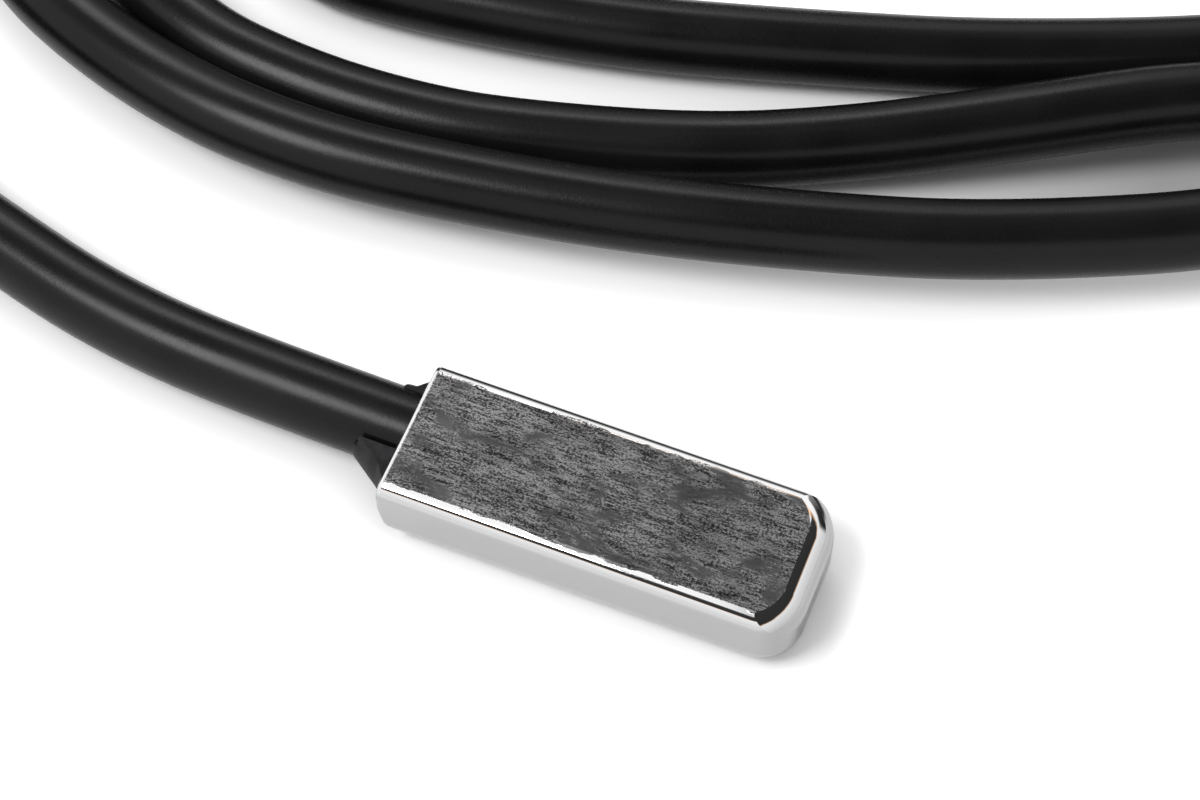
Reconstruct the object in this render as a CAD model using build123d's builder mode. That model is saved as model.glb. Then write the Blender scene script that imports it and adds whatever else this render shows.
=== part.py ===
"""Digital temperature sensor: a potted metal probe on a round cable with a modular plug.

The probe lies flat with its closed end towards +X and its mouth, where the cable leaves, towards -X.
The origin is the middle of the probe's flat underside. Millimetres, +Z up.
"""
import math
import os

from build123d import *

os.makedirs("parts", exist_ok=True)

# Probe case: a deep-drawn can, open at the mouth
case_length = 24.8
case_width = 9.25
case_height = 5.4
case_wall = 0.25
case_top_radius = 0.9
case_bottom_radius = 2.1
case_end_radius = 2.5
case_end_top_radius = 1.7
case_end_blend_radius = 3.8
case_end_blend_side = 1.0
case_end_blend_lift = 0.02
case_rim_radius = 0.1
mouth_trim_radius = 6.5
mouth_trim_start = 3.9

# Cable: round jacket, entering the mouth off centre towards one side
cable_diameter = 4.8
cable_side_offset = 1.0
jacket_in_case = 4.0

# Cores inside the probe
core_pitch = 1.27
core_diameter = 1.1
core_bore = 0.42
conductor_diameter = 0.4
conductor_overlap = 2.6

# Sensor chip: a three-legged moulded package with one flat face
chip_width = 4.6
chip_length = 4.6
chip_flat_depth = 1.2
chip_clearance = 0.65
chip_end_gap = 1.35
leg_width = 0.45
leg_thickness = 0.35
leg_length = 5.6
leg_gap = 0.6
sleeve_diameter = 1.2
sleeve_bore = 0.96

# Potting resin: fills the case and creeps out along the cable
resin_gap = 0.02
resin_setback = 0.8
resin_creep = 2.9
resin_far_creep = 1.3
resin_waist = 0.9
resin_waist_near = 1.5
resin_waist_far = 0.25
resin_lip_margin = 0.12
resin_flap_drop = 1.05
resin_groove_width = 0.3
resin_groove_depth = 0.7
resin_groove_start = 0.3

# Coil, laid on the table behind the probe and turned to this angle
coil_angle = 21.7
coil_height = 7.6
coil_right = (33.0, 51.4)
coil_right_radius = 33.4
coil_left = (-16.2, 52.8)
coil_left_radius = 32.0
coil_front_middle = (-6.0, 21.4)
coil_front_left = (-34.7, 36.4)
coil_second_left = (-15.75, 54.1)
eye_right = (38.0, 54.25)
eye_right_radius = 20.95
eye_left = (-9.9, 52.2)
eye_left_radius = 14.4
eye_front_middle = (12.0, 33.7)

# Lead from the probe to the coil, and straight tail from the coil's inner end to the plug
lead_straight = 7.6
lead_points = [(-29.1, 13.4), (-38.3, 20.2), (-42.84, 23.87), (-46.36, 29.09), (-48.2, 35.12)]
tail_length = 10.9

# Modular plug: clear one-piece body with a springy latch, contact blades in a comb
plug_length = 21.4
plug_width = 11.68
plug_height = 6.6
plug_corner = 0.5
plug_pocket_depth = 5.0
plug_pocket_clearance = 0.06
plug_clamp_length = 4.2
plug_clamp_width = 6.4
plug_clamp_depth = 0.5
plug_clamp_start = 2.2
plug_latch_length = 12.0
plug_latch_rise = 3.0
plug_latch_thickness = 0.9
plug_latch_width = 3.2
plug_latch_root = 6.0
plug_latch_step = 4.2
plug_latch_inset = 1.2
contact_count = 8
contact_pitch = 1.02
contact_thickness = 0.36
contact_length = 5.8
contact_height = 2.6
contact_recess = 0.5
contact_clearance = 0.03
contact_nose = 1.1
plug_core_diameter = 0.98
plug_core_clearance = 0.03
plug_core_stop = 1.6

# Places that follow from the sizes above
mouth_x = -case_length / 2
cable_z = case_height / 2
cable_radius = cable_diameter / 2
jacket_end_x = mouth_x + jacket_in_case
chip_thickness = case_height - 2 * case_wall - 2 * chip_clearance
chip_floor_z = case_wall + chip_clearance
chip_back_x = case_length / 2 - case_wall - chip_end_gap - chip_length
core_end_x = chip_back_x - leg_length - leg_gap
core_length = core_end_x - jacket_end_x
sleeve_length = chip_back_x - core_end_x
leg_z = cable_z - conductor_diameter / 2 - leg_thickness / 2
sleeve_z = cable_z + conductor_diameter / 2 - (conductor_diameter + leg_thickness) / 2
core_offsets = [cable_side_offset + (i - 1) * core_pitch for i in range(3)]
core_names = ["power", "data", "ground"]

coil_turn = math.radians(coil_angle)
coil_plane = Plane((0, 0, 0), x_dir=(math.cos(coil_turn), math.sin(coil_turn), 0))
lead_end = (coil_left[0] - coil_left_radius, coil_left[1])
tail_across = eye_left[1] + eye_left_radius
plug_axis_z = plug_height / 2
plug_rear = eye_left[0] + tail_length - plug_pocket_depth
plug_plane = Plane(coil_plane.from_local_coords(Vector(plug_rear, tail_across, 0)), x_dir=coil_plane.x_dir)
plug_rear_plane = Plane(plug_plane.origin, x_dir=plug_plane.y_dir, z_dir=plug_plane.x_dir)
plug_side_plane = Plane(plug_plane.origin, x_dir=plug_plane.x_dir, z_dir=-plug_plane.y_dir)


def corner_radii(points):
    """Radius at each inner point of a route, as large as its two runs allow."""
    radii = []
    for before, here, after in zip(points, points[1:], points[2:]):
        turn = math.radians((here - before).get_angle(after - here))
        run = min((here - before).length, (after - here).length)
        radii.append(0.45 * run / math.tan(turn / 2))
    return radii



def drawn_block(inset, start_x):
    """The drawn case's solid shape at an inset from its outside, from a place along it to the closed end."""
    length = case_length / 2 - inset - start_x
    with BuildPart() as block:
        with BuildSketch(Plane.XY.offset(inset)) as outline:
            with Locations((start_x, 0)):
                Rectangle(length, case_width - 2 * inset, align=(Align.MIN, Align.CENTER))
            fillet(outline.vertices().group_by(Axis.X)[-1], case_end_radius - inset)
        extrude(amount=case_height - 2 * inset)
        start_face = block.faces().sort_by(Axis.X)[0]
        fillet(block.edges().group_by(Axis.Z)[-1] - start_face.edges(), case_top_radius - inset)
        start_face = block.faces().sort_by(Axis.X)[0]
        fillet(block.edges().group_by(Axis.Z)[0] - start_face.edges(), case_bottom_radius - inset)
        with BuildPart(mode=Mode.INTERSECT) as end_round:
            with BuildSketch(Plane.XY.offset(inset - case_height)) as wide_outline:
                wide_width = case_width + 2 * (case_end_blend_side - inset)
                with Locations((start_x - case_height, 0)):
                    Rectangle(length + case_height + case_end_blend_lift, wide_width,
                              align=(Align.MIN, Align.CENTER))
                fillet(wide_outline.vertices().group_by(Axis.X)[-1], case_end_blend_radius - inset)
            extrude(amount=2 * (case_height - inset) + case_end_blend_lift)
            back_face = end_round.faces().sort_by(Axis.X)[0]
            fillet(end_round.edges().group_by(Axis.Z)[-1] - back_face.edges(), case_end_top_radius - inset)
    return block.part


# Probe case: drawn shape less its cavity, rounded most at the closed end, with an open trimmed mouth
with BuildPart() as probe_case:
    add(drawn_block(0, mouth_x))
    add(drawn_block(case_wall, mouth_x - case_wall), mode=Mode.SUBTRACT)
    with BuildSketch(Plane.XZ) as mouth_trim:
        with BuildLine():
            trim_sweep = math.degrees(math.asin(mouth_trim_start / mouth_trim_radius))
            trim_centre = (mouth_x + mouth_trim_radius, mouth_trim_start)
            trim = CenterArc(trim_centre, mouth_trim_radius, 180, trim_sweep)
            outside_x = mouth_x - case_wall
            Polyline(trim @ 1, (outside_x, 0), (outside_x, mouth_trim_start), trim @ 0)
        make_face()
    extrude(amount=case_width, both=True, mode=Mode.SUBTRACT)
    rim_top = probe_case.edges().filter_by(Axis.Y).group_by(Axis.Z)[-1].sort_by(Axis.X)[0]
    fillet(rim_top, case_rim_radius)
probe_case.part.label = "probe_case"
export_step(probe_case.part, "parts/probe_case.step")

# Sensor chip: round back, flat top face, legs leaving towards the mouth
with BuildPart() as sensor_chip:
    with BuildSketch(Plane.YZ.offset(chip_back_x)) as chip_section:
        with BuildLine():
            chip_left = cable_side_offset - chip_width / 2
            chip_right = cable_side_offset + chip_width / 2
            chip_top_z = chip_floor_z + chip_thickness
            chip_side_z = chip_top_z - chip_flat_depth
            chip_sides = Polyline((chip_left, chip_side_z), (chip_left, chip_top_z),
                                  (chip_right, chip_top_z), (chip_right, chip_side_z))
            ThreePointArc(chip_sides @ 1, (cable_side_offset, chip_floor_z), chip_sides @ 0)
        make_face()
    extrude(amount=chip_length)
sensor_chip.part.label = "sensor_chip"
export_step(sensor_chip.part, "parts/sensor_chip.step")

# Legs, solder sleeves and cores, one of each on every line
for core_name, core_y in zip(core_names, core_offsets):
    with BuildPart() as sensor_leg:
        with BuildSketch(Plane.YZ.offset(chip_back_x - leg_length)):
            with Locations((core_y, leg_z)):
                Rectangle(leg_width, leg_thickness)
        extrude(amount=leg_length)
    sensor_leg.part.label = f"sensor_leg_{core_name}"
    export_step(sensor_leg.part, f"parts/sensor_leg_{core_name}.step")

    with BuildPart() as solder_sleeve:
        with BuildSketch(Plane.YZ.offset(core_end_x)):
            with Locations((core_y, sleeve_z)):
                Circle(sleeve_diameter / 2)
                Circle(sleeve_bore / 2, mode=Mode.SUBTRACT)
        extrude(amount=sleeve_length)
    solder_sleeve.part.label = f"solder_sleeve_{core_name}"
    export_step(solder_sleeve.part, f"parts/solder_sleeve_{core_name}.step")

    with BuildPart() as core_insulation:
        with BuildSketch(Plane.YZ.offset(jacket_end_x)):
            with Locations((core_y, cable_z)):
                Circle(core_diameter / 2)
                Circle(core_bore / 2, mode=Mode.SUBTRACT)
        extrude(amount=core_length)
    core_insulation.part.label = f"core_insulation_{core_name}"
    export_step(core_insulation.part, f"parts/core_insulation_{core_name}.step")

    with BuildPart() as core_conductor:
        with BuildSketch(Plane.YZ.offset(jacket_end_x)):
            with Locations((core_y, cable_z)):
                Circle(conductor_diameter / 2)
        extrude(amount=core_length + conductor_overlap)
    core_conductor.part.label = f"core_conductor_{core_name}"
    export_step(core_conductor.part, f"parts/core_conductor_{core_name}.step")

# Potting resin: the case's inner shape and a creep round the cable, sunk at the top, with a grooved flap
with BuildPart() as potting_resin:
    inset = case_wall + resin_gap
    resin_face_x = mouth_x + resin_setback
    fill_width = case_width - 2 * inset
    fill_height = case_height - 2 * inset
    add(drawn_block(inset, resin_face_x))
    creep_waist_plane = Plane.YZ.offset(mouth_x - resin_waist)
    waist_width = cable_diameter + resin_waist_near + resin_waist_far
    waist_y = cable_side_offset + (resin_waist_far - resin_waist_near) / 2
    with BuildSketch(Plane.YZ.offset(resin_face_x)) as creep_root:
        with Locations((0, cable_z)):
            Rectangle(fill_width, fill_height)
        fillet(creep_root.vertices().group_by(Axis.Y)[-1], case_top_radius - inset)
        fillet(creep_root.vertices().group_by(Axis.Y)[0], case_bottom_radius - inset)
    with BuildSketch(creep_waist_plane):
        with Locations((waist_y, cable_z)):
            SlotOverall(waist_width, fill_height)
    loft(ruled=True)
    with BuildSketch(creep_waist_plane):
        with Locations((waist_y, cable_z)):
            SlotOverall(waist_width, fill_height)
    with BuildSketch(Plane.YZ.offset(mouth_x - resin_creep)):
        with Locations((cable_side_offset, cable_z)):
            Circle(cable_radius + resin_lip_margin)
    loft(ruled=True)
    far_end_x = mouth_x - resin_far_creep
    near_end_x = mouth_x - resin_creep
    with BuildSketch(Plane.XY) as slanted_end:
        with BuildLine():
            Polyline((far_end_x, case_width), (far_end_x, cable_side_offset + cable_radius),
                     (near_end_x, cable_side_offset - cable_radius),
                     (near_end_x - resin_creep, cable_side_offset - cable_radius),
                     (near_end_x - resin_creep, case_width), close=True)
        make_face()
    extrude(amount=case_height, mode=Mode.SUBTRACT)
    flap_z = case_height - resin_flap_drop
    with BuildSketch(Plane.YZ.offset(resin_face_x)) as sunk_top:
        with Locations((0, flap_z)):
            Rectangle(2 * case_width, case_height, align=(Align.CENTER, Align.MIN))
    extrude(amount=-2 * (resin_setback + resin_creep), mode=Mode.SUBTRACT)
    with BuildSketch(Plane.YZ.offset(mouth_x - resin_groove_start)) as flap_groove:
        with Locations((cable_side_offset, cable_z)):
            Circle(cable_radius + resin_groove_width)
        with Locations((cable_side_offset, flap_z - resin_groove_depth)):
            Rectangle(2 * case_width, case_height, align=(Align.CENTER, Align.MAX), mode=Mode.SUBTRACT)
        with Locations((cable_side_offset, cable_z)):
            Rectangle(case_width, 2 * case_height, align=(Align.MIN, Align.CENTER), mode=Mode.SUBTRACT)
    extrude(amount=-2 * resin_creep, mode=Mode.SUBTRACT)
    with BuildSketch(Plane.YZ.offset(jacket_end_x)) as cable_bore:
        with Locations((cable_side_offset, cable_z)):
            Circle(cable_radius)
    extrude(amount=-(jacket_in_case + 2 * resin_creep), mode=Mode.SUBTRACT)
    with BuildSketch(Plane.YZ.offset(jacket_end_x)) as core_bores:
        for core_y in core_offsets:
            with Locations((core_y, cable_z)):
                Circle(core_diameter / 2)
    extrude(amount=core_length, mode=Mode.SUBTRACT)
    with BuildSketch(Plane.YZ.offset(core_end_x)) as sleeve_bores:
        for core_y in core_offsets:
            with Locations((core_y, sleeve_z)):
                Circle(sleeve_diameter / 2)
    extrude(amount=sleeve_length, mode=Mode.SUBTRACT)
    add(sensor_chip.part, mode=Mode.SUBTRACT)
potting_resin.part.label = "potting_resin"
export_step(potting_resin.part, "parts/potting_resin.step")

# Lead: the stretch of cable from inside the case to the start of the coil
lead_route = [Vector(jacket_end_x, cable_side_offset, cable_z)]
lead_route += [Vector(mouth_x - lead_straight, cable_side_offset, cable_z)]
lead_ground = [Vector(u, w, cable_radius) for u, w in lead_points + [lead_end]]
lead_route += [coil_plane.from_local_coords(point) for point in lead_ground]
with BuildPart() as cable_lead:
    with BuildLine() as lead_line:
        FilletPolyline(*lead_route, radius=corner_radii(lead_route))
    with BuildSketch(Plane(lead_line.line @ 0, z_dir=lead_line.line % 0)):
        Circle(cable_radius)
    sweep()
cable_lead.part.label = "cable_lead"
export_step(cable_lead.part, "parts/cable_lead.step")

# Coil: the outer shape of the laid turns, open in the middle
with BuildPart() as cable_coil:
    with BuildSketch(coil_plane) as coil_outline:
        with BuildLine():
            left_arc = CenterArc(coil_left, coil_left_radius + cable_radius, 180, -90)
            right_arc = CenterArc(coil_right, coil_right_radius + cable_radius, 90, -180)
            toe_way = Vector(*coil_front_left) - Vector(*coil_second_left)
            toe = Vector(*coil_front_left) + toe_way.normalized() * cable_radius
            front = Vector(*coil_front_middle) - Vector(0, cable_radius)
            Line(left_arc @ 1, right_arc @ 0)
            ThreePointArc(right_arc @ 1, front, toe)
            Polyline(toe, Vector(*lead_end) + Vector(cable_radius, 0), left_arc @ 0)
        make_face()
        with BuildLine():
            eye_right_arc = CenterArc(eye_right, eye_right_radius - cable_radius, -90, 180)
            eye_left_arc = CenterArc(eye_left, eye_left_radius - cable_radius, 90, 180)
            eye_front = Vector(*eye_front_middle) + Vector(0, cable_radius)
            Polyline(eye_right_arc @ 1, (eye_left[0], (eye_right_arc @ 1).Y), eye_left_arc @ 0)
            ThreePointArc(eye_left_arc @ 1, eye_front, eye_right_arc @ 0)
        make_face(mode=Mode.SUBTRACT)
    extrude(amount=coil_height)
cable_coil.part.label = "cable_coil"
export_step(cable_coil.part, "parts/cable_coil.step")

# Tail: straight from the coil's inner end into the plug
with BuildPart() as cable_tail:
    with BuildSketch(plug_rear_plane.offset(plug_pocket_depth)):
        with Locations((0, plug_axis_z)):
            Circle(cable_radius)
    extrude(amount=-tail_length)
cable_tail.part.label = "cable_tail"
export_step(cable_tail.part, "parts/cable_tail.step")

# Modular plug body: pocket for the jacket, tunnels for the cores, comb of contact slots, latch
slot_depth = contact_recess + contact_height
plug_core_z = slot_depth + plug_core_diameter / 2
contact_x = plug_length - contact_nose - contact_length / 2
contact_offsets = [(i - (contact_count - 1) / 2) * contact_pitch for i in range(contact_count)]
plug_core_offsets = contact_offsets[contact_count // 2 - 2:contact_count // 2 + 1]
with BuildPart() as plug_body:
    with BuildSketch(plug_plane):
        Rectangle(plug_length, plug_width, align=(Align.MIN, Align.CENTER))
    extrude(amount=plug_height)
    chamfer(plug_body.edges().filter_by(Axis.Z), plug_corner)
    with BuildSketch(plug_rear_plane):
        with Locations((0, plug_axis_z)):
            Circle(cable_radius + plug_pocket_clearance)
    extrude(amount=plug_pocket_depth, mode=Mode.SUBTRACT)
    with BuildSketch(plug_rear_plane):
        for core_y in plug_core_offsets:
            with Locations((core_y, plug_core_z)):
                Circle(plug_core_diameter / 2 + plug_core_clearance)
    extrude(amount=plug_length - plug_core_stop, mode=Mode.SUBTRACT)
    with BuildSketch(plug_plane):
        with Locations((contact_x, 0)):
            with GridLocations(0, contact_pitch, 1, contact_count):
                Rectangle(contact_length + 2 * contact_clearance, contact_thickness + 2 * contact_clearance)
    extrude(amount=slot_depth, mode=Mode.SUBTRACT)
    with BuildSketch(plug_plane.offset(plug_height)):
        with Locations((plug_clamp_start, 0)):
            Rectangle(plug_clamp_length, plug_clamp_width, align=(Align.MIN, Align.CENTER))
    extrude(amount=-plug_clamp_depth, mode=Mode.SUBTRACT)
    latch_front = plug_length - plug_latch_inset
    latch_root_z = plug_height + plug_latch_thickness
    with BuildSketch(plug_side_plane):
        with BuildLine():
            tip_x = latch_front - plug_latch_length
            tip_z = plug_height + plug_latch_rise
            Polyline((latch_front, plug_height), (latch_front, latch_root_z),
                     (latch_front - plug_latch_thickness, latch_root_z),
                     (tip_x, tip_z + plug_latch_thickness), (tip_x, tip_z),
                     (latch_front - 2 * plug_latch_thickness, plug_height), close=True)
        make_face()
    extrude(amount=plug_latch_root / 2, both=True)
    with BuildSketch(plug_plane.offset(plug_height)):
        latch_step_x = latch_front - plug_latch_step
        with Locations((latch_step_x, plug_latch_root / 2), (latch_step_x, -plug_latch_root / 2)):
            Rectangle(2 * plug_latch_length, plug_latch_root - plug_latch_width,
                      align=(Align.MAX, Align.CENTER))
    extrude(amount=plug_latch_rise + plug_latch_thickness, mode=Mode.SUBTRACT)
plug_body.part.label = "plug_body"
export_step(plug_body.part, "parts/plug_body.step")

# Contact blades, seated at the bottom of their slots
for number, contact_y in enumerate(contact_offsets, start=1):
    with BuildPart() as plug_contact:
        with BuildSketch(plug_plane.offset(contact_recess)):
            with Locations((contact_x, contact_y)):
                Rectangle(contact_length, contact_thickness)
        extrude(amount=contact_height)
    plug_contact.part.label = f"plug_contact_{number}"
    export_step(plug_contact.part, f"parts/plug_contact_{number}.step")

# Cores from the jacket's end to their contacts
for core_name, core_y in zip(core_names, plug_core_offsets):
    with BuildPart() as plug_core:
        with BuildSketch(plug_rear_plane.offset(plug_pocket_depth)):
            with Locations((core_y, plug_core_z)):
                Circle(plug_core_diameter / 2)
        extrude(amount=plug_length - plug_pocket_depth - plug_core_stop)
    plug_core.part.label = f"plug_core_{core_name}"
    export_step(plug_core.part, f"parts/plug_core_{core_name}.step")

lead_length = sum(edge.length for edge in lead_line.edges())
lead_share = cable_lead.part.volume / (math.pi * cable_radius ** 2 * lead_length)
print("lead length", round(lead_length, 1), "volume over section times length", round(lead_share, 4))
print("lead radii", [round(radius, 1) for radius in corner_radii(lead_route)])
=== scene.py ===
"""Digital temperature sensor: finishes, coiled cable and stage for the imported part.

The file is laid out as an add-on and run as a script. Blender units are metres; the cable's route is
written in millimetres, in axes that turn with the coil.
"""
import math

import bpy
from mathutils import Matrix, Vector


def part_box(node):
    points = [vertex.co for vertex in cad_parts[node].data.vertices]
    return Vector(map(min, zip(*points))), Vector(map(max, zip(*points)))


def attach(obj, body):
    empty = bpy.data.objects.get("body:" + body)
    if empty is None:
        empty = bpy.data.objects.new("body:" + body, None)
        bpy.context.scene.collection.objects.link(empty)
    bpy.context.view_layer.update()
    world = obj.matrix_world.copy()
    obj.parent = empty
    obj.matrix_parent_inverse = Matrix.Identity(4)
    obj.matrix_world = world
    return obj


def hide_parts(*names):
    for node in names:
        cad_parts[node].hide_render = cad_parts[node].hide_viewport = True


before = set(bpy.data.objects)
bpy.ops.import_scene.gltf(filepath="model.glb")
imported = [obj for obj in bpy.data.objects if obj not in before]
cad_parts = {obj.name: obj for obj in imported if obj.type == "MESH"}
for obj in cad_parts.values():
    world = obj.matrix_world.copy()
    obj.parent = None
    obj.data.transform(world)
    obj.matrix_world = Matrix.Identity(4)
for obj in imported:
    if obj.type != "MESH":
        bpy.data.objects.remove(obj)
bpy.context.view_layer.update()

bl_info = {
    "name": "Digital temperature sensor",
    "version": (1, 0, 0),
    "blender": (4, 5, 0),
    "location": "3D View > Sidebar > Sensor",
    "description": "Finishes, coiled cable and stage for a potted probe with a modular plug",
    "category": "Object",
}

MM = 0.001
CORE_NAMES = ("power", "data", "ground")
CONTACTS = [f"plug_contact_{number}" for number in range(1, 9)]

# Polished edge at the mouth of the case: width and depth in millimetres, share of the width with no grain
RIM_WIDTH = 0.25
RIM_DEPTH = 0.12
RIM_PLAIN = 0.7

# Grain of the case's flat faces: units a millimetre along, across and up
FLECKS = (6.5, 10.0, 10.0)
STREAKS = (0.9, 6.0, 6.0)
WORN_PATCHES = (0.25, 0.5, 0.5)
CLOUDS = (0.35, 0.6, 0.6)
BORDER_WAVES = (0.45, 0.7, 0.7)
FLECK_SHARE = 0.6
STREAK_SHARE = 0.4

# Ranges of noise that the grain, its worn patches, its clouds and its wavy border are cut from
GRAIN_RANGE = (0.45, 0.55)
GLOSS_RANGE = (0.38, 0.64)
WORN_RANGE = (0.36, 0.47)
CLOUD_RANGE = (0.38, 0.62)
WAVE_RANGE = (0.48, 0.70)
CLOUD_SHADE = (0.72, 1.15)
GRAIN_ROUGHNESS = (0.24, 0.16)
GRAIN_STRENGTH = 0.42

# Upright part of the surface direction at which the flat faces end, and how far flecks and waves move it
FLAT_RANGE = (0.9985, 1.0005)
FLECK_REACH = 0.008
WAVE_REACH = 0.035
WAVE_END = (0.01, 0.06)

# Where the painted shade of the upright faces gives way to bright edges, by how far the surface faces up:
# higher at the closed end
SIDE_SHADE_RANGE = (0.30, 0.95)
END_RANGE = (0.2, 0.6)
END_RAISED = 0.2

# Mottle of the plain finishes: ranges of noise, change of roughness, strength and depth of the relief
MOTTLE_RANGE = (0.35, 0.65)
MOTTLE_GLOSS_RANGE = (0.3, 0.7)
MOTTLE_GLOSS = 0.06
MOTTLE_STRENGTH = 0.4
FINE_RELIEF = 0.02

# Small finishes: two colours, grain a millimetre, roughness
CHIP = ((0.02, 0.02, 0.022, 1.0), (0.035, 0.035, 0.037, 1.0), (6.0, 6.0, 6.0), 0.5)
TINNED = ((0.62, 0.61, 0.58, 1.0), (0.72, 0.71, 0.68, 1.0), (5.0, 5.0, 5.0), 0.32)
SLEEVE = ((0.03, 0.03, 0.03, 1.0), (0.05, 0.05, 0.05, 1.0), (4.0, 4.0, 4.0), 0.45)
COPPER = ((0.72, 0.36, 0.20, 1.0), (0.82, 0.45, 0.28, 1.0), (2.0, 9.0, 9.0), 0.3)
GILT = ((0.83, 0.60, 0.22, 1.0), (0.90, 0.69, 0.32, 1.0), (4.0, 4.0, 4.0), 0.22)

# Finishes of the resin, the clear plug, the cores and the jacket
RESIN_LIGHT = (0.03, 0.03, 0.032, 1.0)
RESIN_GRAIN = (1.1, 1.1, 1.1)
RESIN_ROUGHNESS = 0.5
RESIN_IOR = 1.2
PLUG_TINT = (0.84, 0.88, 0.91, 1.0)
PLUG_GRAIN = (0.5, 0.5, 0.5)
PLUG_ROUGHNESS = 0.12
PLUG_RELIEF = 0.005
PLUG_CLEARNESS = 0.92
PLUG_IOR = 1.58
CORE_GRAIN = (3.0, 3.0, 3.0)
CORE_ROUGHNESS = 0.42
CORE_LIGHTER = 1.25
CORE_TINTS = {
    "power": (0.45, 0.02, 0.02, 1.0),
    "data": (0.65, 0.45, 0.03, 1.0),
    "ground": (0.02, 0.02, 0.02, 1.0),
}
JACKET_LIGHT = (0.007, 0.007, 0.0075, 1.0)
JACKET_FINE = (5.0, 5.0, 5.0)
JACKET_BROAD = (0.12, 0.12, 0.12)
JACKET_ROUGHNESS = (0.24, 0.31)
JACKET_STRENGTH = 0.25
JACKET_IOR = 1.3
FINE_SHARE = 0.5
BROAD_SHARE = 0.5

# Cable route in millimetres: the two first points in the part's axes, the rest across and along the coil
LOW = 2.4
LEAD_START = [(-8.4, 1.0, 2.7), (-20.0, 1.0, 2.7)]
LEAD = [(-29.1, 13.4, LOW), (-38.3, 20.2, LOW), (-42.84, 23.87, LOW), (-46.36, 29.09, LOW),
        (-48.2, 35.12, LOW)]
FRONT_STRAND = [(23.1, 17.4, 4.7), (11.3, 18.5, 4.3), (-0.6, 20.2, 4.1), (-12.7, 23.0, 4.0),
                (-18.8, 25.0, 4.0), (-25.2, 28.2, 3.8), (-31.9, 33.4, 3.3)]
MIDDLE_STRAND = [(35.8, 28.2, 4.5), (23.9, 26.8, 3.5), (14.7, 25.9, 2.8), (5.5, 25.6, LOW),
                 (-6.8, 26.8, LOW), (-13.0, 28.3, LOW), (-19.3, 30.7, LOW)]
INNER_STRAND = [(24.5, 32.8, LOW), (12.0, 33.7, LOW), (-0.6, 35.0, LOW)]
TAIL = [(-6.5, 66.6, 2.8), (-4.0, 66.6, 3.3), (1.0, 66.6, 3.3)]
OUTER_BACK = (10.0, 84.8, LOW)
MIDDLE_BACK = (12.0, 80.0, LOW)
INNER_BACK = (12.0, 75.2, LOW)

# Bends of the coil: centre, radius, first angle and sweep in degrees, and each control point's height
OUTER_LEFT = ((-16.2, 52.8), 32.0, 180, -90, [LOW] * 4)
OUTER_RIGHT = ((33.0, 51.4), 33.4, 90, -180, [5.6, 7.3, 7.4, 7.4, 7.4, 6.8, 6.1, 5.6])
MIDDLE_LEFT = ((-15.75, 54.1), 25.9, 223, -133, [2.8, 2.5] + [LOW] * 5)
MIDDLE_RIGHT = ((40.0, 54.25), 25.75, 90, -180, [LOW] * 6 + [2.6, 3.7])
INNER_LEFT = ((-11.05, 52.3), 22.9, 240, -150, [LOW] * 7)
INNER_RIGHT = ((38.0, 54.25), 20.95, 90, -180, [LOW] * 8)
PLUG_BEND = ((-9.9, 52.2), 14.4, 257, -167, [LOW] * 7)

# Steps of the cable's curve, round its section and along each stretch
ROUND_STEPS = 10
LENGTH_STEPS = 10

# Floor: how far it lies under the part, its paper, and the paper with a painted shade between the coil's
# front strands, where their shadow falls
FLOOR_DROP = 0.05 * MM
PAPER = (0.95, 0.95, 0.95, 1.0)
PAINTED_SHADE_PAPER = (0.50, 0.50, 0.50, 1.0)
SHADE_LEFT = (0.002, 0.034)
SHADE_RIGHT = (0.045, 0.060)
SHADE_NEAR = (0.016, 0.024)
SHADE_FAR = (0.027, 0.033)
CONTACT_POWER = 2.0

# Room that the metal reflects, by the parts of a direction along the case, across it and up: white walls,
# a dark flag before the far wall, a bright zenith, a bright slot and a dark ceiling
WHITE = (1.0, 1.0, 1.0, 1.0)
FRINGE = (1.0, 0.62, 0.35, 1.0)
FRINGE_GAIN = 4.0
WALL_TOP = (0.72, 0.78)
NEAR_WALL = (-0.2, 0.2)
NEAR_DROP = 0.06
END_WALL = (0.15, 0.50)
END_WALL_ACROSS = (-0.10, 0.45)
END_DROP = 0.15
ZENITH_UP = (0.92, 0.95)
ZENITH_ALONG = (-0.12, -0.09)
SLOT_LEFT = (-0.01, 0.01)
SLOT_RIGHT = (0.20, 0.23)
SLOT_ACROSS = (0.38, 0.44)
FLAG_ACROSS = (0.60, 0.70)
FLAG_RISE = (0.0, 0.08)
FLAG_TOP = (0.24, 0.42)
FLAG_FADE = 0.10
CEILING_SLANT = (0.40, 0.75)
CEILING_DARK = 0.03

# Soft lights: size, direction to the right, away from the camera and up, and distance from the lit point
LIT_POINT = Vector((0.0, 0.02, 0.0))
LEFT_SOFTBOX = ((0.26, 0.26), (-0.52, -0.20, 0.83), 0.66)
BACK_SOFTBOX = ((0.40, 0.20), (-0.20, 0.74, 0.64), 0.80)

FILM_WIDTH = 36.0
NEAREST_SEEN = 0.005


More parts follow.
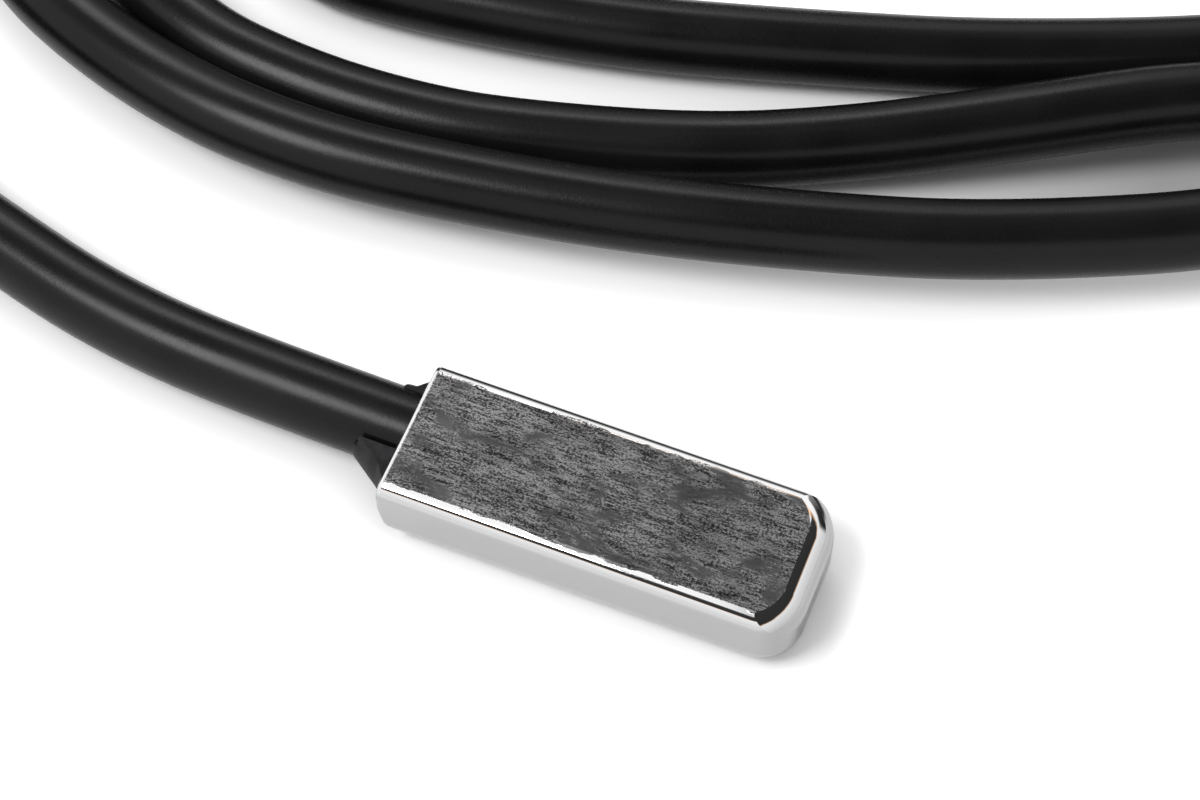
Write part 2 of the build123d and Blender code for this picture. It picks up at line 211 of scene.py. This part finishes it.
class SensorFinish(bpy.types.PropertyGroup):
    """Colours and roughness of the sensor's finishes."""

    metal: bpy.props.FloatVectorProperty(
        name="Case metal", description="Bright plating of the drawn case", subtype="COLOR",
        size=4, default=(0.93, 0.93, 0.935, 1.0), min=0.0, max=1.0)
    # Painted shade: the upright faces' metal is coloured darker than the edges.
    side_metal_painted_shade: bpy.props.FloatVectorProperty(
        name="Case sides", description="Duller plating of the upright faces", subtype="COLOR",
        size=4, default=(0.50, 0.50, 0.505, 1.0), min=0.0, max=1.0)
    # Painted shade: the closed end's metal is coloured darker still.
    end_metal_painted_shade: bpy.props.FloatVectorProperty(
        name="Case end", description="Plating of the closed end", subtype="COLOR",
        size=4, default=(0.43, 0.43, 0.435, 1.0), min=0.0, max=1.0)
    metal_roughness: bpy.props.FloatProperty(
        name="Case polish", description="Roughness of the polished edges", default=0.06, min=0.0, max=1.0)
    grain_dark: bpy.props.FloatVectorProperty(
        name="Grain, dark", description="Darkest flecks on the flat faces", subtype="COLOR",
        size=4, default=(0.06, 0.06, 0.062, 1.0), min=0.0, max=1.0)
    grain_light: bpy.props.FloatVectorProperty(
        name="Grain, light", description="Lightest flecks on the flat faces", subtype="COLOR",
        size=4, default=(0.95, 0.95, 0.96, 1.0), min=0.0, max=1.0)
    grain_plain: bpy.props.FloatVectorProperty(
        name="Grain, worn", description="Even tone where the grain has worn away", subtype="COLOR",
        size=4, default=(0.30, 0.30, 0.305, 1.0), min=0.0, max=1.0)
    jacket: bpy.props.FloatVectorProperty(
        name="Cable jacket", description="Satin black jacket", subtype="COLOR",
        size=4, default=(0.004, 0.004, 0.0043, 1.0), min=0.0, max=1.0)
    resin: bpy.props.FloatVectorProperty(
        name="Potting resin", description="Black resin in the mouth", subtype="COLOR",
        size=4, default=(0.012, 0.012, 0.013, 1.0), min=0.0, max=1.0)
    plug: bpy.props.FloatVectorProperty(
        name="Plug", description="Clear plug body", subtype="COLOR",
        size=4, default=(0.90, 0.93, 0.95, 1.0), min=0.0, max=1.0)


class SensorCable(bpy.types.PropertyGroup):
    """Sizes of the cable and the way its coil is turned."""

    diameter: bpy.props.FloatProperty(
        name="Diameter", description="Outside diameter of the jacket", default=0.0048,
        min=0.001, max=0.02, unit="LENGTH", precision=4)
    length: bpy.props.FloatProperty(
        name="Length", description="Length of the cable from the case to the plug", default=0.9,
        min=0.1, max=10.0, unit="LENGTH")
    coil_angle: bpy.props.FloatProperty(
        name="Coil angle", description="Turn of the coil about the vertical", default=math.radians(21.7),
        unit="ROTATION")


class SensorStage(bpy.types.PropertyGroup):
    """Camera, floor and lights."""

    camera_place: bpy.props.FloatVectorProperty(
        name="Camera", description="Place of the camera", subtype="TRANSLATION", size=3,
        default=(0.02637, -0.067993, 0.140449))
    camera_azimuth: bpy.props.FloatProperty(
        name="Azimuth", description="Way the camera looks, round from the part's long side",
        default=math.radians(21.68), unit="ROTATION")
    camera_elevation: bpy.props.FloatProperty(
        name="Elevation", description="Height of the camera's view above the table",
        default=math.radians(59.63), unit="ROTATION")
    lens: bpy.props.FloatProperty(
        name="Lens", description="Focal length on a 36 mm wide frame", default=82.5, min=10.0, max=400.0)
    floor_size: bpy.props.FloatProperty(
        name="Floor", description="Side of the square floor", default=6.0, min=0.5, unit="LENGTH")
    floor_glow: bpy.props.FloatProperty(
        name="Floor white", description="White added to the lit floor where it is seen",
        default=0.48, min=0.0, max=1.0)
    mirror_glow: bpy.props.FloatProperty(
        name="Floor in metal", description="White added to the lit floor where metal or glass shows it",
        default=0.10, min=0.0, max=1.0)
    contact_reach: bpy.props.FloatProperty(
        name="Contact shadow", description="Reach of the shade round what lies on the floor",
        default=0.004, min=0.0, unit="LENGTH", precision=4)
    key_power: bpy.props.FloatProperty(
        name="Left light", description="Power of the soft light high on the left", default=2.6, min=0.0,
        unit="POWER")
    back_power: bpy.props.FloatProperty(
        name="Back light", description="Power of the soft light behind the part", default=1.0, min=0.0,
        unit="POWER")
    ambient: bpy.props.FloatProperty(
        name="Room light", description="Strength of the even light of the room", default=0.44, min=0.0)
    ceiling: bpy.props.FloatProperty(
        name="Ceiling", description="Brightest part of the dark ceiling that the metal reflects",
        default=0.28, min=0.0)


def fresh_material(name):
    """A new node material with its tree and its main shader."""
    material = bpy.data.materials.new(name)
    material.use_nodes = True
    tree = material.node_tree
    return material, tree, tree.nodes["Principled BSDF"]


def coordinates(tree, kind):
    """Texture coordinates of one kind."""
    return tree.nodes.new("ShaderNodeTexCoord").outputs[kind]


def axes(tree, vector):
    """The X, Y and Z of a vector."""
    node = tree.nodes.new("ShaderNodeSeparateXYZ")
    tree.links.new(vector, node.inputs["Vector"])
    return node.outputs["X"], node.outputs["Y"], node.outputs["Z"]


def noise(tree, per_mm, detail=3.0, roughness=0.6, distortion=0.0):
    """Noise in the object's own coordinates, its grain set in units a millimetre along each axis."""
    mapping = tree.nodes.new("ShaderNodeMapping")
    mapping.inputs["Scale"].default_value = [value / MM for value in per_mm]
    tree.links.new(coordinates(tree, "Object"), mapping.inputs["Vector"])
    node = tree.nodes.new("ShaderNodeTexNoise")
    node.inputs["Scale"].default_value = 1.0
    node.inputs["Detail"].default_value = detail
    node.inputs["Roughness"].default_value = roughness
    node.inputs["Distortion"].default_value = distortion
    tree.links.new(mapping.outputs["Vector"], node.inputs["Vector"])
    return node.outputs["Fac"]


def spread(tree, value, low, high, to_low=0.0, to_high=1.0):
    """Value moved from one range to another, kept between the ends."""
    node = tree.nodes.new("ShaderNodeMapRange")
    node.inputs["From Min"].default_value = low
    node.inputs["From Max"].default_value = high
    node.inputs["To Min"].default_value = to_low
    node.inputs["To Max"].default_value = to_high
    tree.links.new(value, node.inputs["Value"])
    return node.outputs["Result"]


def combine(tree, operation, first, second):
    """Two values, or a value and a number, put together by a math node."""
    node = tree.nodes.new("ShaderNodeMath")
    node.operation = operation
    for socket, value in zip(node.inputs, (first, second)):
        if isinstance(value, (int, float)):
            socket.default_value = value
        else:
            tree.links.new(value, socket)
    return node.outputs["Value"]


def times(tree, first, second):
    """Product of two values."""
    return combine(tree, "MULTIPLY", first, second)


def plus(tree, first, second):
    """Sum of two values."""
    return combine(tree, "ADD", first, second)


def minus(tree, first, second):
    """Difference of two values."""
    return combine(tree, "SUBTRACT", first, second)


def larger(tree, first, second):
    """Larger of two values."""
    return combine(tree, "MAXIMUM", first, second)


def blend_colours(tree, factor, first, second, mode="MIX"):
    """Two colours or colour sockets mixed by a factor."""
    node = tree.nodes.new("ShaderNodeMix")
    node.data_type = "RGBA"
    node.blend_type = mode
    if isinstance(factor, (int, float)):
        node.inputs["Factor"].default_value = factor
    else:
        tree.links.new(factor, node.inputs["Factor"])
    for socket, value in zip((node.inputs[6], node.inputs[7]), (first, second)):
        if isinstance(value, bpy.types.NodeSocket):
            tree.links.new(value, socket)
        else:
            socket.default_value = value
    return node.outputs[2]


def bump(tree, height, strength, distance_mm, under=None):
    """Fine relief, laid over another relief where one is given."""
    node = tree.nodes.new("ShaderNodeBump")
    node.inputs["Strength"].default_value = strength
    node.inputs["Distance"].default_value = distance_mm * MM
    tree.links.new(height, node.inputs["Height"])
    if under is not None:
        tree.links.new(under, node.inputs["Normal"])
    return node.outputs["Normal"]


def mottled(name, colour, second, per_mm, roughness, relief=FINE_RELIEF, metallic=0.0):
    """A plain finish with a fine mottle in its colour, gloss and surface."""
    material, tree, shader = fresh_material(name)
    grain = noise(tree, per_mm)
    tint = blend_colours(tree, spread(tree, grain, *MOTTLE_RANGE), colour, second)
    tree.links.new(tint, shader.inputs["Base Color"])
    gloss = spread(tree, grain, *MOTTLE_GLOSS_RANGE, roughness - MOTTLE_GLOSS, roughness + MOTTLE_GLOSS)
    tree.links.new(gloss, shader.inputs["Roughness"])
    shader.inputs["Metallic"].default_value = metallic
    tree.links.new(bump(tree, grain, MOTTLE_STRENGTH, relief), shader.inputs["Normal"])
    return material


def dress(node, material):
    """Gives a carried-over solid its finish."""
    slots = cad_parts[node].data.materials
    slots.clear()
    slots.append(material)


class SENSOR_OT_dress_case(bpy.types.Operator):
    """Bright plated metal: grained flat faces, polished rounded edges, and a painted shade on the upright
    faces and the closed end
    """

    bl_idname = "sensor.dress_case"
    bl_label = "Dress the case"

    def execute(self, context):
        finish = context.scene.sensor_finish
        material, tree, shader = fresh_material("plated_case_metal")
        along, _, _ = axes(tree, coordinates(tree, "Object"))
        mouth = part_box("probe_case")[0].x
        rim = spread(tree, along, mouth, mouth + RIM_WIDTH * MM)
        flecks = noise(tree, FLECKS, detail=3.0, roughness=0.7)
        streaks = noise(tree, STREAKS, detail=3.0, roughness=0.65)
        grain = plus(tree, times(tree, flecks, FLECK_SHARE), times(tree, streaks, STREAK_SHARE))
        patches = noise(tree, WORN_PATCHES, detail=4.0, roughness=0.6, distortion=0.8)
        kept = spread(tree, patches, *WORN_RANGE)
        flat = times(tree, self.flat_faces(tree, flecks), spread(tree, rim, RIM_PLAIN, 1.0))
        tint = blend_colours(tree, flat, self.plating(tree, finish), self.grained(tree, finish, grain, kept))
        tree.links.new(tint, shader.inputs["Base Color"])
        roughness = tree.nodes.new("ShaderNodeMix")
        tree.links.new(flat, roughness.inputs["Factor"])
        roughness.inputs["A"].default_value = finish.metal_roughness
        tree.links.new(spread(tree, grain, *GLOSS_RANGE, *GRAIN_ROUGHNESS), roughness.inputs["B"])
        tree.links.new(roughness.outputs["Result"], shader.inputs["Roughness"])
        shader.inputs["Metallic"].default_value = 1.0
        rounded = bump(tree, rim, 1.0, RIM_DEPTH)
        relief = times(tree, times(tree, grain, flat), kept)
        tree.links.new(bump(tree, relief, GRAIN_STRENGTH, FINE_RELIEF, rounded), shader.inputs["Normal"])
        dress("probe_case", material)
        return {"FINISHED"}

    def flat_faces(self, tree, flecks):
        """1 on the flat faces, with a border that flecks make ragged and waves move along the long edges."""
        n_x, _, n_z = axes(tree, coordinates(tree, "Normal"))
        waves = spread(tree, noise(tree, BORDER_WAVES, detail=2.0), *WAVE_RANGE, 0.0, WAVE_REACH)
        sideways = spread(tree, n_x, *WAVE_END, 1.0, 0.0)
        ragged = plus(tree, times(tree, flecks, FLECK_REACH), times(tree, waves, sideways))
        upright = combine(tree, "ABSOLUTE", n_z, 0.0)
        return spread(tree, plus(tree, upright, ragged), *FLAT_RANGE)

    def plating(self, tree, finish):
        """Bright edges over upright faces and a closed end that are painted darker: a painted shade by the
        way each face points.
        """
        n_x, _, n_z = axes(tree, coordinates(tree, "Normal"))
        # Painted shade: metal that faces sideways or towards the closed end is coloured darker.
        endward = spread(tree, n_x, *END_RANGE)
        lowered = minus(tree, n_z, times(tree, endward, END_RAISED))
        wall = spread(tree, lowered, *SIDE_SHADE_RANGE, 1.0, 0.0)
        painted_dark_metal = blend_colours(tree, endward, list(finish.side_metal_painted_shade), list(finish.end_metal_painted_shade))
        return blend_colours(tree, wall, list(finish.metal), painted_dark_metal)

    def grained(self, tree, finish, grain, kept):
        """Dark and light flecks, plain where they are worn away, under slow clouds."""
        contrast = spread(tree, grain, *GRAIN_RANGE)
        fleck_tint = blend_colours(tree, contrast, list(finish.grain_dark), list(finish.grain_light))
        worn_tint = blend_colours(tree, kept, list(finish.grain_plain), fleck_tint)
        clouds = spread(tree, noise(tree, CLOUDS, detail=3.0), *CLOUD_RANGE, *CLOUD_SHADE)
        return blend_colours(tree, 1.0, worn_tint, clouds, "MULTIPLY")


class SENSOR_OT_dress_seal(bpy.types.Operator):
    """Black resin in the mouth of the case"""

    bl_idname = "sensor.dress_seal"
    bl_label = "Dress the resin seal"

    def execute(self, context):
        finish = context.scene.sensor_finish
        resin = mottled("potting_resin", list(finish.resin), RESIN_LIGHT, RESIN_GRAIN, RESIN_ROUGHNESS)
        resin.node_tree.nodes["Principled BSDF"].inputs["IOR"].default_value = RESIN_IOR
        dress("potting_resin", resin)
        return {"FINISHED"}


class SENSOR_OT_dress_inside(bpy.types.Operator):
    """Chip, legs, sleeves and cores sealed in the resin"""

    bl_idname = "sensor.dress_inside"
    bl_label = "Dress the sealed pieces"

    def execute(self, context):
        chip = mottled("chip_plastic", *CHIP)
        tinned = mottled("tinned_metal", *TINNED, metallic=1.0)
        sleeve = mottled("shrink_sleeve", *SLEEVE)
        copper = mottled("copper_strand", *COPPER, metallic=1.0)
        dress("sensor_chip", chip)
        for core in CORE_NAMES:
            tint = CORE_TINTS[core]
            light = [min(1.0, value * CORE_LIGHTER) for value in tint[:3]] + [1.0]
            insulation = mottled(f"core_{core}", tint, light, CORE_GRAIN, CORE_ROUGHNESS)
            dress(f"sensor_leg_{core}", tinned)
            dress(f"solder_sleeve_{core}", sleeve)
            dress(f"core_conductor_{core}", copper)
            dress(f"core_insulation_{core}", insulation)
            dress(f"plug_core_{core}", insulation)
        return {"FINISHED"}


class SENSOR_OT_dress_plug(bpy.types.Operator):
    """Clear plug body and gilt contacts"""

    bl_idname = "sensor.dress_plug"
    bl_label = "Dress the plug"

    def execute(self, context):
        finish = context.scene.sensor_finish
        clear = mottled("clear_plug_plastic", list(finish.plug), PLUG_TINT, PLUG_GRAIN, PLUG_ROUGHNESS,
                        PLUG_RELIEF)
        shader = clear.node_tree.nodes["Principled BSDF"]
        shader.inputs["Transmission Weight"].default_value = PLUG_CLEARNESS
        shader.inputs["IOR"].default_value = PLUG_IOR
        gilt = mottled("gilt_contact", *GILT, metallic=1.0)
        dress("plug_body", clear)
        for contact in CONTACTS:
            dress(contact, gilt)
        return {"FINISHED"}


def arc_points(centre, radius, start, sweep, heights):
    """Control points round an arc, at the corners of its tangents, one for each height."""
    step = sweep / len(heights)
    reach = radius / math.cos(math.radians(step / 2))
    points = []
    for index, height in enumerate(heights):
        angle = math.radians(start + step * (index + 0.5))
        points.append((centre[0] + reach * math.cos(angle), centre[1] + reach * math.sin(angle), height))
    return points


def coil_route():
    """Control points of the cable after its straight start: lead, three turns, then the way to the plug."""
    route = list(LEAD)
    route += arc_points(*OUTER_LEFT) + [OUTER_BACK] + arc_points(*OUTER_RIGHT) + FRONT_STRAND
    route += arc_points(*MIDDLE_LEFT) + [MIDDLE_BACK] + arc_points(*MIDDLE_RIGHT) + MIDDLE_STRAND
    route += arc_points(*INNER_LEFT) + [INNER_BACK] + arc_points(*INNER_RIGHT) + INNER_STRAND
    route += arc_points(*PLUG_BEND) + TAIL
    return route


class SENSOR_OT_lay_cable(bpy.types.Operator):
    """Cable from the case round its coil to the plug"""

    bl_idname = "sensor.lay_cable"
    bl_label = "Lay the cable"

    def execute(self, context):
        cable = context.scene.sensor_cable
        curve = self.laid_curve(cable)
        cord = bpy.data.objects.new("cable", curve)
        context.scene.collection.objects.link(cord)
        curve.materials.append(self.jacket(context.scene.sensor_finish))
        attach(cord, "root")
        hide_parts("cable_lead", "cable_coil", "cable_tail")
        return {"FINISHED"}

    def laid_curve(self, cable):
        """One smooth line through the route, with the cable's round section."""
        turn, rise = math.cos(cable.coil_angle), math.sin(cable.coil_angle)
        points = [Vector(point) * MM for point in LEAD_START]
        points += [Vector((u * turn - w * rise, u * rise + w * turn, z)) * MM for u, w, z in coil_route()]
        curve = bpy.data.curves.new("cable", "CURVE")
        curve.dimensions = "3D"
        curve.bevel_depth = cable.diameter / 2
        curve.bevel_resolution = ROUND_STEPS
        curve.resolution_u = LENGTH_STEPS
        curve.use_fill_caps = True
        spline = curve.splines.new("NURBS")
        spline.points.add(len(points) - 1)
        for control, point in zip(spline.points, points):
            control.co = (*point, 1.0)
        spline.order_u = 3
        spline.use_endpoint_u = True
        spline.use_smooth = True
        return curve

    def jacket(self, finish):
        """Satin black plastic with a fine mottle and slow changes of gloss."""
        jacket, tree, shader = fresh_material("satin_jacket")
        fine = noise(tree, JACKET_FINE, detail=3.0, roughness=0.65)
        broad = noise(tree, JACKET_BROAD, detail=2.0)
        cloud = spread(tree, broad, *MOTTLE_RANGE)
        tint = blend_colours(tree, cloud, list(finish.jacket), JACKET_LIGHT)
        tree.links.new(tint, shader.inputs["Base Color"])
        wear = plus(tree, times(tree, fine, FINE_SHARE), times(tree, broad, BROAD_SHARE))
        tree.links.new(spread(tree, wear, *MOTTLE_RANGE, *JACKET_ROUGHNESS), shader.inputs["Roughness"])
        shader.inputs["IOR"].default_value = JACKET_IOR
        tree.links.new(bump(tree, fine, JACKET_STRENGTH, FINE_RELIEF), shader.inputs["Normal"])
        return jacket


def shown_rays(tree):
    """1 for rays that show a surface: straight to the camera, and in metal or glass."""
    path = tree.nodes.new("ShaderNodeLightPath")
    mirror = larger(tree, path.outputs["Is Glossy Ray"], path.outputs["Is Transmission Ray"])
    return path.outputs["Is Camera Ray"], mirror


class SENSOR_OT_set_stage(bpy.types.Operator):
    """White floor, white surround with a dark ceiling, soft lights and the camera"""

    bl_idname = "sensor.set_stage"
    bl_label = "Set the stage"

    def execute(self, context):
        stage = context.scene.sensor_stage
        self.lay_floor(context, stage)
        self.light_room(context, stage)
        self.hang_light(context, stage, "left_softbox", stage.key_power, *LEFT_SOFTBOX)
        self.hang_light(context, stage, "back_softbox", stage.back_power, *BACK_SOFTBOX)
        self.place_camera(context, stage)
        context.scene.view_settings.view_transform = "Standard"
        return {"FINISHED"}

    def lay_floor(self, context, stage):
        """A white sheet that keeps the part's shadow."""
        half = stage.floor_size / 2
        mesh = bpy.data.meshes.new("floor")
        corners = [(-half, -half, 0), (half, -half, 0), (half, half, 0), (-half, half, 0)]
        mesh.from_pydata(corners, [], [(0, 1, 2, 3)])
        floor = bpy.data.objects.new("floor", mesh)
        floor.location.z = -FLOOR_DROP
        context.scene.collection.objects.link(floor)
        mesh.materials.append(self.floor_paper(stage))

    def floor_paper(self, stage):
        """Lit paper with white added, less where something lies on it, and with a painted shade between the
        coil's front strands.
        """
        material = bpy.data.materials.new("white_floor")
        material.use_nodes = True
        tree = material.node_tree
        tree.nodes.clear()
        shade = self.painted_floor_shade(tree, stage)
        lit = tree.nodes.new("ShaderNodeBsdfDiffuse")
        # Painted shade: the paper turns darker and gets less white between the coil's front strands.
        tree.links.new(blend_colours(tree, shade, PAPER, PAINTED_SHADE_PAPER), lit.inputs["Color"])
        contact = tree.nodes.new("ShaderNodeAmbientOcclusion")
        contact.inputs["Distance"].default_value = stage.contact_reach
        open_floor = combine(tree, "POWER", contact.outputs["AO"], CONTACT_POWER)
        clear = times(tree, open_floor, minus(tree, 1.0, shade))
        direct, mirror = shown_rays(tree)
        added = plus(tree, times(tree, direct, stage.floor_glow), times(tree, mirror, stage.mirror_glow))
        white = tree.nodes.new("ShaderNodeEmission")
        tree.links.new(times(tree, clear, added), white.inputs["Strength"])
        both = tree.nodes.new("ShaderNodeAddShader")
        tree.links.new(lit.outputs["BSDF"], both.inputs[0])
        tree.links.new(white.outputs["Emission"], both.inputs[1])
        output = tree.nodes.new("ShaderNodeOutputMaterial")
        tree.links.new(both.outputs["Shader"], output.inputs["Surface"])
        return material

    def painted_floor_shade(self, tree, stage):
        """Painted shade: darker paper, with less white added, between the coil's front strands, towards its
        right end.
        """
        turned = tree.nodes.new("ShaderNodeVectorRotate")
        turned.rotation_type = "Z_AXIS"
        turned.inputs["Angle"].default_value = -stage.camera_azimuth
        tree.links.new(coordinates(tree, "Object"), turned.inputs["Vector"])
        right, away, _ = axes(tree, turned.outputs["Vector"])
        between = times(tree, spread(tree, right, *SHADE_LEFT), spread(tree, right, *SHADE_RIGHT, 1.0, 0.0))
        behind = times(tree, spread(tree, away, *SHADE_NEAR), spread(tree, away, *SHADE_FAR, 1.0, 0.0))
        return times(tree, between, behind)

    def light_room(self, context, stage):
        """Even light from all round; a white room with a dark ceiling where it is seen or reflected."""
        world = bpy.data.worlds.new("studio")
        world.use_nodes = True
        context.scene.world = world
        tree = world.node_tree
        tree.nodes.clear()
        direct, mirror = shown_rays(tree)
        room, wall_tops = self.reflected_room(tree, stage)
        even = tree.nodes.new("ShaderNodeBackground")
        even.inputs["Strength"].default_value = stage.ambient
        even.inputs["Color"].default_value = WHITE
        show = tree.nodes.new("ShaderNodeBackground")
        tree.links.new(larger(tree, room, direct), show.inputs["Strength"])
        halfway = times(tree, wall_tops, minus(tree, 1.0, wall_tops))
        warm = blend_colours(tree, times(tree, halfway, FRINGE_GAIN), WHITE, FRINGE)
        tree.links.new(warm, show.inputs["Color"])
        mix = tree.nodes.new("ShaderNodeMixShader")
        tree.links.new(larger(tree, direct, mirror), mix.inputs["Fac"])
        tree.links.new(even.outputs["Background"], mix.inputs[1])
        tree.links.new(show.outputs["Background"], mix.inputs[2])
        output = tree.nodes.new("ShaderNodeOutputWorld")
        tree.links.new(mix.outputs["Shader"], output.inputs["Surface"])

    def reflected_room(self, tree, stage):
        """Brightness of the room by direction, and 1 for directions below the walls' upper edge."""
        along, across, up = axes(tree, coordinates(tree, "Generated"))
        slant = minus(tree, across, along)
        ceiling = spread(tree, slant, *CEILING_SLANT, CEILING_DARK, stage.ceiling)
        above_flag = minus(tree, up, spread(tree, along, *FLAG_RISE, *FLAG_TOP))
        flag = times(tree, spread(tree, across, *FLAG_ACROSS),
                     spread(tree, above_flag, 0.0, FLAG_FADE, 1.0, 0.0))
        near_drop = spread(tree, across, *NEAR_WALL, NEAR_DROP, 0.0)
        end_drop = times(tree, spread(tree, along, *END_WALL, 0.0, END_DROP),
                         spread(tree, across, *END_WALL_ACROSS))
        edge = plus(tree, up, plus(tree, near_drop, end_drop))
        wall_tops = spread(tree, edge, *WALL_TOP, 1.0, 0.0)
        walls = minus(tree, wall_tops, flag)
        zenith = times(tree, spread(tree, up, *ZENITH_UP), spread(tree, along, *ZENITH_ALONG, 1.0, 0.0))
        slot = times(tree, spread(tree, along, *SLOT_LEFT), spread(tree, along, *SLOT_RIGHT, 1.0, 0.0))
        slot = times(tree, slot, spread(tree, across, *SLOT_ACROSS))
        lit = larger(tree, larger(tree, walls, zenith), slot)
        return larger(tree, lit, ceiling), wall_tops

    def hang_light(self, context, stage, name, power, size, direction, distance):
        """A soft light that faces the lit point."""
        lamp = bpy.data.lights.new(name, "AREA")
        lamp.shape = "RECTANGLE"
        lamp.size, lamp.size_y = size
        lamp.energy = power
        light = bpy.data.objects.new(name, lamp)
        context.scene.collection.objects.link(light)
        turn = Matrix.Rotation(stage.camera_azimuth, 3, "Z")
        outward = (turn @ Vector(direction)).normalized()
        light.location = LIT_POINT + outward * distance
        light.rotation_mode = "QUATERNION"
        light.rotation_quaternion = (-outward).to_track_quat("-Z", "Y")

    def place_camera(self, context, stage):
        """The camera, looking down at the part from its near side."""
        data = bpy.data.cameras.new("camera")
        data.sensor_width = FILM_WIDTH
        data.lens = stage.lens
        data.clip_start = NEAREST_SEEN
        camera = bpy.data.objects.new("camera", data)
        context.scene.collection.objects.link(camera)
        turn, height = stage.camera_azimuth, stage.camera_elevation
        level = math.cos(height)
        ahead = Vector((-math.sin(turn) * level, math.cos(turn) * level, -math.sin(height)))
        camera.location = stage.camera_place
        camera.rotation_mode = "QUATERNION"
        camera.rotation_quaternion = ahead.to_track_quat("-Z", "Y")
        context.scene.camera = camera


class SENSOR_PT_panel(bpy.types.Panel):
    """Steps and settings of the sensor"""

    bl_idname = "SENSOR_PT_panel"
    bl_label = "Temperature sensor"
    bl_space_type = "VIEW_3D"
    bl_region_type = "UI"
    bl_category = "Sensor"

    def draw(self, context):
        scene = context.scene
        for operator in OPERATORS:
            self.layout.operator(operator.bl_idname)
        for settings in (scene.sensor_finish, scene.sensor_cable, scene.sensor_stage):
            box = self.layout.box()
            for name in settings.__annotations__:
                box.prop(settings, name)


SETTINGS = (SensorFinish, SensorCable, SensorStage)
OPERATORS = (SENSOR_OT_dress_case, SENSOR_OT_dress_seal, SENSOR_OT_dress_inside, SENSOR_OT_dress_plug,
             SENSOR_OT_lay_cable, SENSOR_OT_set_stage)
CLASSES = (*SETTINGS, *OPERATORS, SENSOR_PT_panel)


def register():
    """Adds the classes and the scene's settings."""
    for each in CLASSES:
        bpy.utils.register_class(each)
    bpy.types.Scene.sensor_finish = bpy.props.PointerProperty(type=SensorFinish)
    bpy.types.Scene.sensor_cable = bpy.props.PointerProperty(type=SensorCable)
    bpy.types.Scene.sensor_stage = bpy.props.PointerProperty(type=SensorStage)


def unregister():
    """Takes the settings and the classes away again."""
    del bpy.types.Scene.sensor_stage
    del bpy.types.Scene.sensor_cable
    del bpy.types.Scene.sensor_finish
    for each in reversed(CLASSES):
        bpy.utils.unregister_class(each)


def main():
    """Dresses the part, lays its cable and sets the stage."""
    register()
    bpy.ops.sensor.dress_case()
    bpy.ops.sensor.dress_seal()
    bpy.ops.sensor.dress_inside()
    bpy.ops.sensor.dress_plug()
    bpy.ops.sensor.lay_cable()
    bpy.ops.sensor.set_stage()


if __name__ == "__main__":
    main()
